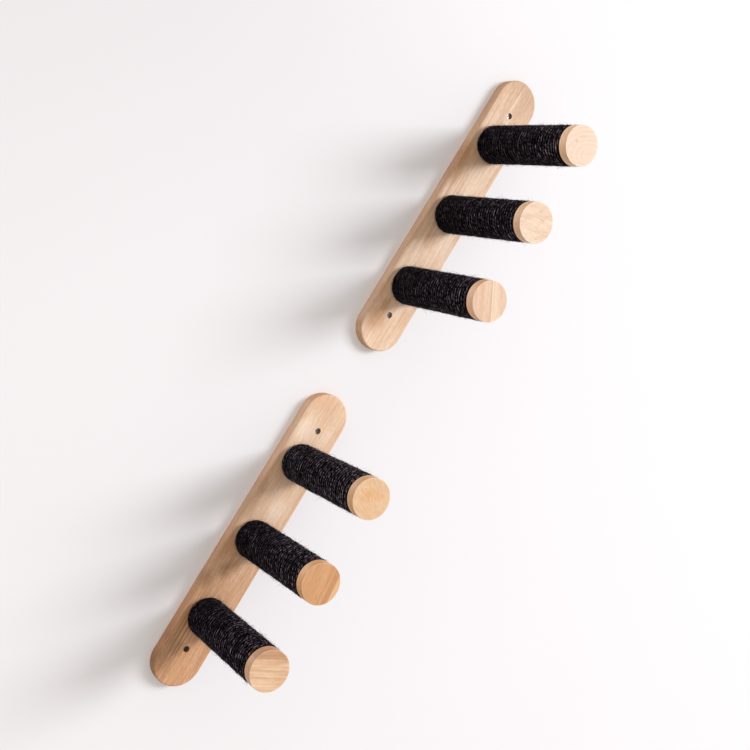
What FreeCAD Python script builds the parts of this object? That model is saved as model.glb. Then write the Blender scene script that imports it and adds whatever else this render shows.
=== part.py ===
"""Cat climbing wall: two tilted wall boards, each carrying three pegs wound with sisal rope.

Each board and its pegs are modelled lying flat, with X across the board, Y up along it and Z out of
the wall. They are then stood on the wall, which is the plane Y = 0 with the pegs towards -Y and +Z up.
The origin is the middle of the lower board's back. Sizes are in millimetres.
"""

import FreeCAD
import Part
import math
import os

# Layout on the wall: both boards lean to the right, and the upper one sits further right
BOARD_TILT_DEG = 34.0
UPPER_BOARD_RIGHT = 281.2
UPPER_BOARD_UP = 413.4

# Backboard, a plank with half-round ends
BOARD_LENGTH = 422.0
BOARD_WIDTH = 65.0
BOARD_THICKNESS = 15.0
BOARD_FRONT_ROUND = 2.0
BOARD_BACK_ROUND = 0.8

# Peg core, a round dowel that stands on the board
PEG_SPACING = 113.0
CORE_DIAMETER = 38.0
CORE_LENGTH = 170.0

# Sisal rope, wound in close turns from the board to the cap
ROPE_DIAMETER = 6.2
ROPE_SEAT_GAP = 0.2
ROPE_END_GAP = 0.3
ROPE_TURN_GAP = 0.45
ROPE_START_DEG = -40.0
WINDING_DIAMETER = CORE_DIAMETER + 2 * (ROPE_SEAT_GAP + ROPE_DIAMETER)
BIARCS_PER_TURN = 2
GAP_POINTS_PER_ARC = 12

# End cap, a disc as wide as the winding
CAP_DIAMETER = WINDING_DIAMETER
CAP_THICKNESS = 13.0
CAP_FRONT_ROUND = 0.5
CAP_BACK_ROUND = 0.4

# Dowel pin glued into the core and the cap
PIN_DIAMETER = 10.0
PIN_LENGTH = 30.0
PIN_DEPTH_IN_CAP = 8.0
PIN_CHAMFER = 1.0
PIN_END_ROOM = 0.5
GLUE_GAP = 0.1

# Peg bolt, countersunk from the board's back into a threaded insert in the core
BOLT_DIAMETER = 8.0
BOLT_HEAD_DIAMETER = 16.0
BOLT_HEAD_RIM = 0.5
BOLT_RECESS = 0.6
BOLT_GRIP_IN_INSERT = 20.0
BOLT_POINT_CHAMFER = 1.0
BOLT_SOCKET_ACROSS = 5.0
BOLT_SOCKET_DEPTH = 3.0
BOLT_HOLE_GAP = 0.4
INSERT_DIAMETER = 12.0
INSERT_LENGTH = 25.0
INSERT_CHAMFER = 0.8
THREAD_GAP = 0.1
CORE_BORE_ROOM = 2.0

# Wall screw, sunk below the board's front
WALL_SCREW_END_INSET = 51.0
WALL_SCREW_DIAMETER = 4.0
WALL_SCREW_SHANK = 2.8
WALL_SCREW_HEAD = 7.8
WALL_SCREW_HEAD_RIM = 0.5
WALL_SCREW_LENGTH = 50.0
WALL_SCREW_TIP = 6.0
WALL_SCREW_RECESS = 3.8
WALL_SCREW_HOLE_GAP = 0.25

# Room left under a countersunk head, along its axis, and how far a cut runs past what it cuts
HEAD_SEAT_GAP = 0.15
CUT_OVERRUN = 1.0

# Edges count as flat at a height when they leave it by less than this share of the piece's size
FLAT_EDGE_SHARE = 1e-6

FULL_TURN_DEG = 360.0
RIGHT_ANGLE_DEG = 90.0
HEX_SIDES = 6
OUT_OF_WALL = FreeCAD.Vector(0, 0, 1)
PEG_PLACES = {"top": PEG_SPACING, "middle": 0.0, "bottom": -PEG_SPACING}
SCREW_REACH = BOARD_LENGTH / 2 - WALL_SCREW_END_INSET
SCREW_PLACES = {"top": SCREW_REACH, "bottom": -SCREW_REACH}
MODULE_PLACES = {
    "lower": FreeCAD.Vector(0, 0, 0),
    "upper": FreeCAD.Vector(UPPER_BOARD_RIGHT, 0, UPPER_BOARD_UP),
}


def turned(outline):
    """Turns a closed outline of (radius, height) corners about the Z axis."""
    corners = [FreeCAD.Vector(radius, 0, height) for radius, height in outline]
    face = Part.Face(Part.makePolygon(corners + corners[:1]))
    return face.revolve(FreeCAD.Vector(0, 0, 0), OUT_OF_WALL, FULL_TURN_DEG)


def rod(diameter, length, foot):
    """A cylinder on the Z axis that starts at height foot."""
    return Part.makeCylinder(diameter / 2, length, FreeCAD.Vector(0, 0, foot), OUT_OF_WALL)


def edges_at(shape, height):
    """The edges that lie flat at this height."""
    slack = shape.BoundBox.DiagonalLength * FLAT_EDGE_SHARE
    boxes = [(edge, edge.BoundBox) for edge in shape.Edges]
    return [edge for edge, box in boxes if max(abs(box.ZMin - height), abs(box.ZMax - height)) < slack]


def moved_along(shape, place):
    """A copy of a piece shifted up along the board."""
    return shape.translated(FreeCAD.Vector(0, place, 0))


def wall_screw_outline():
    """Half outline of a wall screw: head below the board's front, thread beyond the wall plane."""
    head_top = BOARD_THICKNESS - WALL_SCREW_RECESS
    head_radius = WALL_SCREW_HEAD / 2
    shank_radius = WALL_SCREW_SHANK / 2
    thread_radius = WALL_SCREW_DIAMETER / 2
    cone_top = head_top - WALL_SCREW_HEAD_RIM
    point = head_top - WALL_SCREW_LENGTH
    return [
        (0, head_top),
        (head_radius, head_top),
        (head_radius, cone_top),
        (shank_radius, cone_top - (head_radius - shank_radius)),
        (shank_radius, 0),
        (thread_radius, 0),
        (thread_radius, point + WALL_SCREW_TIP),
        (0, point),
    ]


def wall_screw_hole():
    """What a wall screw's counterbore, countersink and clearance hole take out of the board."""
    bore_radius = WALL_SCREW_HEAD / 2 + WALL_SCREW_HOLE_GAP
    hole_radius = WALL_SCREW_DIAMETER / 2 + WALL_SCREW_HOLE_GAP
    cone_top = BOARD_THICKNESS - WALL_SCREW_RECESS - WALL_SCREW_HEAD_RIM
    seat_top = cone_top + WALL_SCREW_HOLE_GAP - HEAD_SEAT_GAP
    front = BOARD_THICKNESS + CUT_OVERRUN
    return turned([
        (0, front),
        (bore_radius, front),
        (bore_radius, seat_top),
        (hole_radius, seat_top - (bore_radius - hole_radius)),
        (hole_radius, -CUT_OVERRUN),
        (0, -CUT_OVERRUN),
    ])


def peg_bolt_hole():
    """What a peg bolt's countersink and clearance hole take out of the board, from its back."""
    bore_radius = BOLT_HEAD_DIAMETER / 2 + BOLT_HOLE_GAP
    hole_radius = BOLT_DIAMETER / 2 + BOLT_HOLE_GAP
    seat_foot = BOLT_RECESS + BOLT_HEAD_RIM - BOLT_HOLE_GAP + HEAD_SEAT_GAP
    front = BOARD_THICKNESS + CUT_OVERRUN
    return turned([
        (0, -CUT_OVERRUN),
        (bore_radius, -CUT_OVERRUN),
        (bore_radius, seat_foot),
        (hole_radius, seat_foot + bore_radius - hole_radius),
        (hole_radius, front),
        (0, front),
    ])


def backboard():
    """The plank: a round-ended outline with eased edges, and its screw and bolt holes."""
    radius = BOARD_WIDTH / 2
    straight = BOARD_LENGTH / 2 - radius
    right_top = FreeCAD.Vector(radius, straight, 0)
    left_top = FreeCAD.Vector(-radius, straight, 0)
    left_bottom = FreeCAD.Vector(-radius, -straight, 0)
    right_bottom = FreeCAD.Vector(radius, -straight, 0)
    outline = Part.Wire([
        Part.LineSegment(right_bottom, right_top).toShape(),
        Part.Arc(right_top, FreeCAD.Vector(0, BOARD_LENGTH / 2, 0), left_top).toShape(),
        Part.LineSegment(left_top, left_bottom).toShape(),
        Part.Arc(left_bottom, FreeCAD.Vector(0, -BOARD_LENGTH / 2, 0), right_bottom).toShape(),
    ])
    plank = Part.Face(outline).extrude(FreeCAD.Vector(0, 0, BOARD_THICKNESS))
    plank = plank.makeFillet(BOARD_FRONT_ROUND, edges_at(plank, BOARD_THICKNESS))
    plank = plank.makeFillet(BOARD_BACK_ROUND, edges_at(plank, 0))
    for place in SCREW_PLACES.values():
        plank = plank.cut(moved_along(wall_screw_hole(), place))
    for place in PEG_PLACES.values():
        plank = plank.cut(moved_along(peg_bolt_hole(), place))
    return plank


def peg_core():
    """The dowel, bored at its foot for the insert and at its head for the cap's pin."""
    top = BOARD_THICKNESS + CORE_LENGTH
    foot_bore = max(INSERT_LENGTH, BOLT_GRIP_IN_INSERT) + CORE_BORE_ROOM
    pin_bore = PIN_LENGTH - PIN_DEPTH_IN_CAP + PIN_END_ROOM
    insert_room = rod(INSERT_DIAMETER + 2 * GLUE_GAP, foot_bore + CUT_OVERRUN, BOARD_THICKNESS - CUT_OVERRUN)
    pin_room = rod(PIN_DIAMETER + 2 * GLUE_GAP, pin_bore + CUT_OVERRUN, top - pin_bore)
    return rod(CORE_DIAMETER, CORE_LENGTH, BOARD_THICKNESS).cut(insert_room).cut(pin_room)


def end_cap():
    """The disc on the end of a peg, with a blind hole for its pin."""
    foot = BOARD_THICKNESS + CORE_LENGTH
    cap = rod(CAP_DIAMETER, CAP_THICKNESS, foot)
    cap = cap.makeFillet(CAP_FRONT_ROUND, edges_at(cap, foot + CAP_THICKNESS))
    cap = cap.makeFillet(CAP_BACK_ROUND, edges_at(cap, foot))
    pin_bore = PIN_DEPTH_IN_CAP + PIN_END_ROOM
    return cap.cut(rod(PIN_DIAMETER + 2 * GLUE_GAP, pin_bore + CUT_OVERRUN, foot - CUT_OVERRUN))


def cap_pin():
    """The chamfered dowel pin, partly in the core and partly in the cap."""
    foot = BOARD_THICKNESS + CORE_LENGTH + PIN_DEPTH_IN_CAP - PIN_LENGTH
    pin = rod(PIN_DIAMETER, PIN_LENGTH, foot)
    return pin.makeChamfer(PIN_CHAMFER, edges_at(pin, foot) + edges_at(pin, foot + PIN_LENGTH))


def threaded_insert():
    """The metal sleeve in the core's foot, chamfered at both ends."""
    outer = INSERT_DIAMETER / 2
    bore = BOLT_DIAMETER / 2 + THREAD_GAP
    foot = BOARD_THICKNESS
    top = foot + INSERT_LENGTH
    return turned([
        (bore, foot),
        (outer - INSERT_CHAMFER, foot),
        (outer, foot + INSERT_CHAMFER),
        (outer, top - INSERT_CHAMFER),
        (outer - INSERT_CHAMFER, top),
        (bore, top),
    ])


def peg_bolt():
    """The countersunk bolt, with a hexagon socket in its head."""
    head_radius = BOLT_HEAD_DIAMETER / 2
    radius = BOLT_DIAMETER / 2
    cone_foot = BOLT_RECESS + BOLT_HEAD_RIM
    end = BOARD_THICKNESS + BOLT_GRIP_IN_INSERT
    bolt = turned([
        (0, BOLT_RECESS),
        (head_radius, BOLT_RECESS),
        (head_radius, cone_foot),
        (radius, cone_foot + head_radius - radius),
        (radius, end - BOLT_POINT_CHAMFER),
        (radius - BOLT_POINT_CHAMFER, end),
        (0, end),
    ])
    corner = BOLT_SOCKET_ACROSS / 2 / math.cos(math.pi / HEX_SIDES)
    mouth = BOLT_RECESS - CUT_OVERRUN
    angles = [2 * math.pi * side / HEX_SIDES for side in range(HEX_SIDES + 1)]
    corners = [FreeCAD.Vector(corner * math.cos(a), corner * math.sin(a), mouth) for a in angles]
    hexagon = Part.Face(Part.makePolygon(corners))
    return bolt.cut(hexagon.extrude(FreeCAD.Vector(0, 0, CUT_OVERRUN + BOLT_SOCKET_DEPTH)))


def arc_between(start, end, control):
    """The arc from start to end whose end tangents meet at control, and its radius."""
    middle = (start + end) / 2
    half_chord = (end - start).Length / 2
    slope = half_chord / (control - start).Length
    crown = middle + (control - middle) * (slope / (1 + slope))
    return Part.Arc(start, crown, end).toShape(), half_chord / math.sqrt(1 - slope * slope)


def biarc(start, start_way, end, end_way):
    """Two tangent arcs that leave start along start_way and reach end along end_way, and their radii."""
    chord = end - start
    lean = chord.dot(start_way + end_way)
    spread = 2 * (1 - start_way.dot(end_way))
    reach = (math.sqrt(lean * lean + spread * chord.dot(chord)) - lean) / spread
    first_control = start + start_way * reach
    second_control = end - end_way * reach
    join = (first_control + second_control) / 2
    first, first_radius = arc_between(start, join, first_control)
    second, second_radius = arc_between(join, end, second_control)
    return [first, second], min(first_radius, second_radius)


def least_gap(arcs, arcs_per_turn):
    """The least gap between the rope and its own other turns, measured on points of its middle line."""
    points = [p for arc in arcs for p in arc.discretize(GAP_POINTS_PER_ARC + 1)[:-1]]
    half_turn = arcs_per_turn * GAP_POINTS_PER_ARC // 2
    nearest = min(
        point.distanceToPoint(other)
        for index, point in enumerate(points)
        for other in points[index + half_turn:]
    )
    return nearest - ROPE_DIAMETER


def sisal_winding():
    """One unbroken rope wound round the core, its ends cut square after a short straight run."""
    radius = (WINDING_DIAMETER - ROPE_DIAMETER) / 2
    end_rise = ROPE_DIAMETER * (ROPE_DIAMETER + ROPE_TURN_GAP) / (2 * math.pi * radius)
    first = BOARD_THICKNESS + ROPE_END_GAP + ROPE_DIAMETER / 2 + end_rise
    last = BOARD_THICKNESS + CORE_LENGTH - ROPE_END_GAP - ROPE_DIAMETER / 2 - end_rise
    turns = math.floor((last - first) / (ROPE_DIAMETER + ROPE_TURN_GAP))
    rise = (last - first) / (2 * math.pi * turns)

    def place(angle):
        turn = angle + math.radians(ROPE_START_DEG)
        return FreeCAD.Vector(radius * math.cos(turn), radius * math.sin(turn), first + rise * angle)

    def way(angle):
        turn = angle + math.radians(ROPE_START_DEG)
        return FreeCAD.Vector(-radius * math.sin(turn), radius * math.cos(turn), rise).normalize()

    step = 2 * math.pi / BIARCS_PER_TURN
    stations = [step * count for count in range(turns * BIARCS_PER_TURN + 1)]
    arcs = []
    tightest = radius
    for start, end in zip(stations, stations[1:]):
        pair, bend = biarc(place(start), way(start), place(end), way(end))
        arcs += pair
        tightest = min(tightest, bend)
    tail_start = place(0) - way(0) * ROPE_DIAMETER
    tail_end = place(stations[-1]) + way(stations[-1]) * ROPE_DIAMETER
    lead_in = Part.LineSegment(tail_start, place(0)).toShape()
    lead_out = Part.LineSegment(place(stations[-1]), tail_end).toShape()
    path = Part.Wire([lead_in] + arcs + [lead_out])
    section = Part.Wire([Part.makeCircle(ROPE_DIAMETER / 2, tail_start, way(0))])
    rope = path.makePipeShell([section], True, False)
    tube = math.pi * ROPE_DIAMETER ** 2 / 4 * path.Length
    gap = least_gap([lead_in] + arcs + [lead_out], 2 * BIARCS_PER_TURN)
    print(f"rope: {turns} turns, tightest bend {tightest:.2f} mm, least gap to itself {gap:.2f} mm")
    print(f"rope: length {path.Length:.0f} mm, volume over section times length {rope.Volume / tube:.5f}")
    return rope


def main():
    """Builds one module's pieces and stands copies of them at both places on the wall."""
    one_of_each = {"core": peg_core(), "sisal": sisal_winding(), "cap": end_cap(), "cap_pin": cap_pin(),
                   "insert": threaded_insert(), "bolt": peg_bolt()}
    module = {"backboard": backboard()}
    for level, place in PEG_PLACES.items():
        for piece, shape in one_of_each.items():
            module[f"{piece}_{level}"] = moved_along(shape, place)
    for level, place in SCREW_PLACES.items():
        module[f"wall_screw_{level}"] = moved_along(turned(wall_screw_outline()), place)

    stand_up = FreeCAD.Rotation(FreeCAD.Vector(1, 0, 0), RIGHT_ANGLE_DEG)
    lean_right = FreeCAD.Rotation(FreeCAD.Vector(0, 1, 0), BOARD_TILT_DEG)
    os.makedirs("parts", exist_ok=True)
    for name, middle in MODULE_PLACES.items():
        on_wall = FreeCAD.Placement(middle, lean_right.multiply(stand_up))
        for piece, shape in module.items():
            stood = shape.copy()
            stood.Placement = on_wall.multiply(shape.Placement)
            stood.exportStep(f"parts/{name}_{piece}.step")


main()
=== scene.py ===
"""Cat climbing wall: two slanted rows of rope-wound pegs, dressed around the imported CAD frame.

Sizes are in metres in the CAD frame, except where a docstring says millimetres: Z up, the wall at Y = 0,
the pegs standing out towards -Y.
"""

import logging
import math
from dataclasses import asdict, dataclass, replace
from enum import Enum
from typing import Optional, Union

import bmesh
import bpy
from bpy.types import Material, Mesh, Node, NodeSocket as Socket, NodeTree, Object
from mathutils import Euler, Matrix, Vector


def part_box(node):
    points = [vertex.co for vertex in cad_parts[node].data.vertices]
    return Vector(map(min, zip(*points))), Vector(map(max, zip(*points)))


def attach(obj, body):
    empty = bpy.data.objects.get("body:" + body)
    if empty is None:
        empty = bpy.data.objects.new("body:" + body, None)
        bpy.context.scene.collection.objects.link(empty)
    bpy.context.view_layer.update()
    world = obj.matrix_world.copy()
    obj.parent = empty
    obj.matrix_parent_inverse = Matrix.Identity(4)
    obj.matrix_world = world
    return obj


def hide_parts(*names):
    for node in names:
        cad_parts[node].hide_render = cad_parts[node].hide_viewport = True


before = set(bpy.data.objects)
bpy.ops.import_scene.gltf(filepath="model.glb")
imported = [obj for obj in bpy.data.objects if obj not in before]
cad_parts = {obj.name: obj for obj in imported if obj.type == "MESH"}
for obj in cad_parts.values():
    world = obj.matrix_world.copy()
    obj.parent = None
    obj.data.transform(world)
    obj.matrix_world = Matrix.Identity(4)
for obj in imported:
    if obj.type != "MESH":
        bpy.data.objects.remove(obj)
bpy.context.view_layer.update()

LOG = logging.getLogger("climbing_wall")

Colour = tuple[float, float, float]
Point = tuple[float, float, float]
Pair = tuple[float, float]
Term = Union[float, "Field", Socket]

BODY = "root"
MM = 0.001
BOARD_TILT = 34.0
BOARD_WIDTH = 0.065
BOARD_STRAIGHT = 0.1785
CAP_RADIUS = 0.0254
CAP_HALF_DEPTH = 0.0065
CORE_RADIUS = 0.019
WAVE_LENGTH = math.tau / 20.0
WHITE: Colour = (1.0, 1.0, 1.0)

LINE_SHADE: Colour = (0.80, 0.71, 0.61)
MOTTLE_SHADE: Colour = (0.86, 0.80, 0.73)
PORE_SHADE: Colour = (0.72, 0.62, 0.52)
FIBRE_SHADE: Colour = (0.86, 0.82, 0.78)
END_GRAIN_SHADE: Colour = (0.84, 0.76, 0.66)
ARRIS_TONE: Colour = (1.0, 0.86, 0.70)


class Row(Enum):
    """The two boards on the wall."""

    LOWER = "lower"
    UPPER = "upper"


class Level(Enum):
    """The three pegs on a board."""

    TOP = "top"
    MIDDLE = "middle"
    BOTTOM = "bottom"


class ScrewEnd(Enum):
    """The two wall screws of a board."""

    TOP = "top"
    BOTTOM = "bottom"


class Slot(Enum):
    """The record's material slots, passed along with new pieces."""

    ROPE = "sisal_rope"
    SCREW = "screw_steel"


class Tone(Enum):
    """The tones of the patches in the wood and of the painted peg shadows on the boards, from pale to dark.
    """

    CREAM = (1.0, 0.825, 0.67)
    FLECK = (0.90, 0.687, 0.464)
    STRAW = (0.90, 0.58, 0.37)
    AMBER = (0.80, 0.50, 0.31)
    SAND = (0.747, 0.525, 0.358)
    TOFFEE = (0.72, 0.488, 0.302)
    EMBER = (0.748, 0.425, 0.195)
    WHEAT = (0.70, 0.455, 0.295)
    HONEY = (0.70, 0.39, 0.217)
    KNOT = (0.632, 0.402, 0.222)
    BISCUIT = (0.60, 0.385, 0.25)
    RUST = (0.57, 0.29, 0.137)
    RUSSET = (0.53, 0.295, 0.16)
    UMBER = (0.47, 0.26, 0.14)
    WALNUT = (0.42, 0.232, 0.125)
    DARK = (0.33, 0.17, 0.087)


class Layer(Enum):
    """The layers of the grain: marks per metre across and along it, number and detail of the noise."""

    SWAY = (38.0, 9.0, 0.0, 2.0)
    DRIFT = (160.0, 24.0, 3.0, 2.0)
    BROAD = (300.0, 5.0, 5.0, 2.0)
    NARROW = (850.0, 12.0, 6.0, 2.0)
    FIBRE = (2600.0, 60.0, 7.0, 2.0)
    LINES = (520.0, 16.0, 8.0, 2.0)
    DASHES = (1500.0, 85.0, 9.0, 1.0)
    CLOUDS = (26.0, 12.0, 11.0, 2.0)
    WANDER = (60.0, 14.0, 13.0, 3.0)
    RAGGED = (700.0, 60.0, 15.0, 3.0)
    MOTTLE = (520.0, 150.0, 17.0, 2.0)


class Field:
    """A number that a node tree works out, with the usual arithmetic."""

    def __init__(self, graph: "Graph", socket: Socket) -> None:
        """Keeps the socket that carries the number and the graph it belongs to."""
        self.graph = graph
        self.socket = socket

    def __add__(self, other: Term) -> "Field":
        """Adds a number."""
        return self.graph.math("ADD", self, other)

    __radd__ = __add__

    def __sub__(self, other: Term) -> "Field":
        """Takes a number away."""
        return self.graph.math("SUBTRACT", self, other)

    def __rsub__(self, other: Term) -> "Field":
        """Is taken away from a number."""
        return self.graph.math("SUBTRACT", other, self)

    def __mul__(self, other: Term) -> "Field":
        """Multiplies by a number."""
        return self.graph.math("MULTIPLY", self, other)

    def __truediv__(self, other: Term) -> "Field":
        """Divides by a number."""
        return self.graph.math("DIVIDE", self, other)

    def cos(self) -> "Field":
        """Gives the cosine."""
        return self.graph.math("COSINE", self)

    def sin(self) -> "Field":
        """Gives the sine."""
        return self.graph.math("SINE", self)

    def size(self) -> "Field":
        """Gives the number without its sign."""
        return self.graph.math("ABSOLUTE", self)

    def power(self, exponent: float) -> "Field":
        """Raises the number to a power."""
        return self.graph.math("POWER", self, exponent)

    def ramp(self, low: float, high: float, to_low: float = 0.0, to_high: float = 1.0) -> "Field":
        """Maps a span smoothly onto another one.

        Args:
            low: Where the span starts.
            high: Where the span ends.
            to_low: The result at the start and before it.
            to_high: The result at the end and past it.

        Returns:
            The mapped number.
        """
        inputs = {"Value": self, "From Min": low, "From Max": high, "To Min": to_low, "To Max": to_high}
        node = self.graph.add("ShaderNodeMapRange", inputs, interpolation_type="SMOOTHSTEP")
        return Field(self.graph, node.outputs["Result"])


class Graph:
    """A node tree that is put together one node at a time."""

    def __init__(self, tree: NodeTree) -> None:
        """Keeps the tree that the nodes go into."""
        self.tree = tree

    def feed(self, socket: Socket, value: object) -> None:
        """Links a socket or a field to an input, or sets the input to a plain value.

        Args:
            socket: The input.
            value: What it gets.
        """
        if isinstance(value, Field):
            value = value.socket
        if isinstance(value, Socket):
            self.tree.links.new(value, socket)
        else:
            socket.default_value = value

    def add(self, kind: str, inputs: Optional[dict] = None, **settings: object) -> Node:
        """Adds a node.

        Args:
            kind: Blender's name of the node type.
            inputs: What each input gets, by the input's name or number.
            settings: The node's own properties.

        Returns:
            The node.
        """
        node = self.tree.nodes.new(kind)
        for key, value in settings.items():
            setattr(node, key, value)
        for key, value in (inputs or {}).items():
            self.feed(node.inputs[key], value)
        return node

    def math(self, operation: str, *terms: Term) -> Field:
        """Adds a Math node of the given operation and gives its result."""
        node = self.add("ShaderNodeMath", dict(enumerate(terms)), operation=operation)
        return Field(self, node.outputs[0])

    def length(self, across: Field, up: Field) -> Field:
        """Gives how long the slanted side over two square ones is."""
        return self.math("SQRT", across * across + up * up)

    def split(self, vector: Socket) -> tuple[Field, Field, Field]:
        """Gives a vector's X, Y and Z as fields."""
        node = self.add("ShaderNodeSeparateXYZ", {"Vector": vector})
        return tuple(Field(self, socket) for socket in node.outputs)

    def join(self, x: Term, y: Term, z: Term) -> Socket:
        """Makes a vector of three numbers."""
        return self.add("ShaderNodeCombineXYZ", {"X": x, "Y": y, "Z": z}).outputs[0]

    def blend(self, factor: Term, first: object, second: object, how: str = "MIX") -> Socket:
        """Mixes two colours.

        Args:
            factor: How much of the second one there is.
            first: A colour or a colour socket.
            second: A colour or a colour socket.
            how: Blender's name of the mixing mode.

        Returns:
            The mixed colour.
        """
        node = self.add("ShaderNodeMix", data_type="RGBA", blend_type=how, clamp_factor=True)
        self.feed(node.inputs["Factor"], factor)
        for socket, value in zip((node.inputs[6], node.inputs[7]), (first, second)):
            self.feed(socket, (*value, 1.0) if isinstance(value, tuple) else value)
        return node.outputs[2]


class SurfaceGraph(Graph):
    """The node tree of a new material with one Principled shader."""

    def __init__(self, name: str) -> None:
        """Makes the material and keeps its shader.

        Args:
            name: The material's name.
        """
        self.material = bpy.data.materials.new(name)
        self.material.use_nodes = True
        super().__init__(self.material.node_tree)
        self.shader = self.tree.nodes["Principled BSDF"]

    def place(self) -> Socket:
        """Gives the Object coordinates of the shaded point."""
        return self.add("ShaderNodeTexCoord").outputs["Object"]

    def attribute(self, name: str, output: str) -> Socket:
        """Gives an attribute of the mesh as one of the outputs Vector and Fac."""
        return self.add("ShaderNodeAttribute", attribute_name=name).outputs[output]

    def turned(self, vector: Socket, centre: Point, turn: object) -> Socket:
        """Moves a place into the axes of something that stands elsewhere and is turned."""
        inputs = {"Vector": vector, "Location": centre, "Rotation": turn}
        return self.add("ShaderNodeMapping", inputs, vector_type="TEXTURE").outputs[0]

    def noise(self, at: Socket, scale: Point, seed: float, detail: float) -> Field:
        """Adds a Noise Texture that is stretched by its own scale on each axis.

        Args:
            at: The place that the noise is read at.
            scale: Features per metre along X, Y and Z.
            seed: Which noise it is.
            detail: How many finer layers it has.

        Returns:
            The noise, about 0.5 on average.
        """
        stretched = self.add("ShaderNodeVectorMath", {0: at, 1: scale}, operation="MULTIPLY").outputs[0]
        inputs = {"Vector": stretched, "W": seed, "Scale": 1.0, "Detail": detail}
        return Field(self, self.add("ShaderNodeTexNoise", inputs, noise_dimensions="4D").outputs[0])

    def relief(self, height: Field, depth: float, strength: float) -> Socket:
        """Gives the normal of a surface raised by a bump from 0 to 1, with its depth in metres."""
        inputs = {"Height": height, "Distance": depth, "Strength": strength}
        return self.add("ShaderNodeBump", inputs).outputs["Normal"]

    def finish(self, inputs: dict[str, object]) -> Material:
        """Feeds the shader.

        Args:
            inputs: What each of its inputs gets, by name.

        Returns:
            The material.
        """
        for name, value in inputs.items():
            self.feed(self.shader.inputs[name], value)
        return self.material


def box_middle(node: str) -> Point:
    """Gives the middle of a CAD node's box."""
    low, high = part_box(node)
    return tuple((a + b) / 2.0 for a, b in zip(low, high))


@dataclass(frozen=True)
class Tint:
    """A soft patch of another tone in a wooden face, of the wood's own tone or of painted shade: its place
    and half size in millimetres.
    """

    across: float
    along: float
    half_across: float
    half_along: float
    tone: Tone
    strength: float = 0.5


@dataclass(frozen=True)
class Stave:
    """A strip of another colour along the grain, between two lines across it in millimetres."""

    start: float
    end: float
    colour: Colour
    strength: float = 0.5
    softness: float = 0.6


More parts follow.
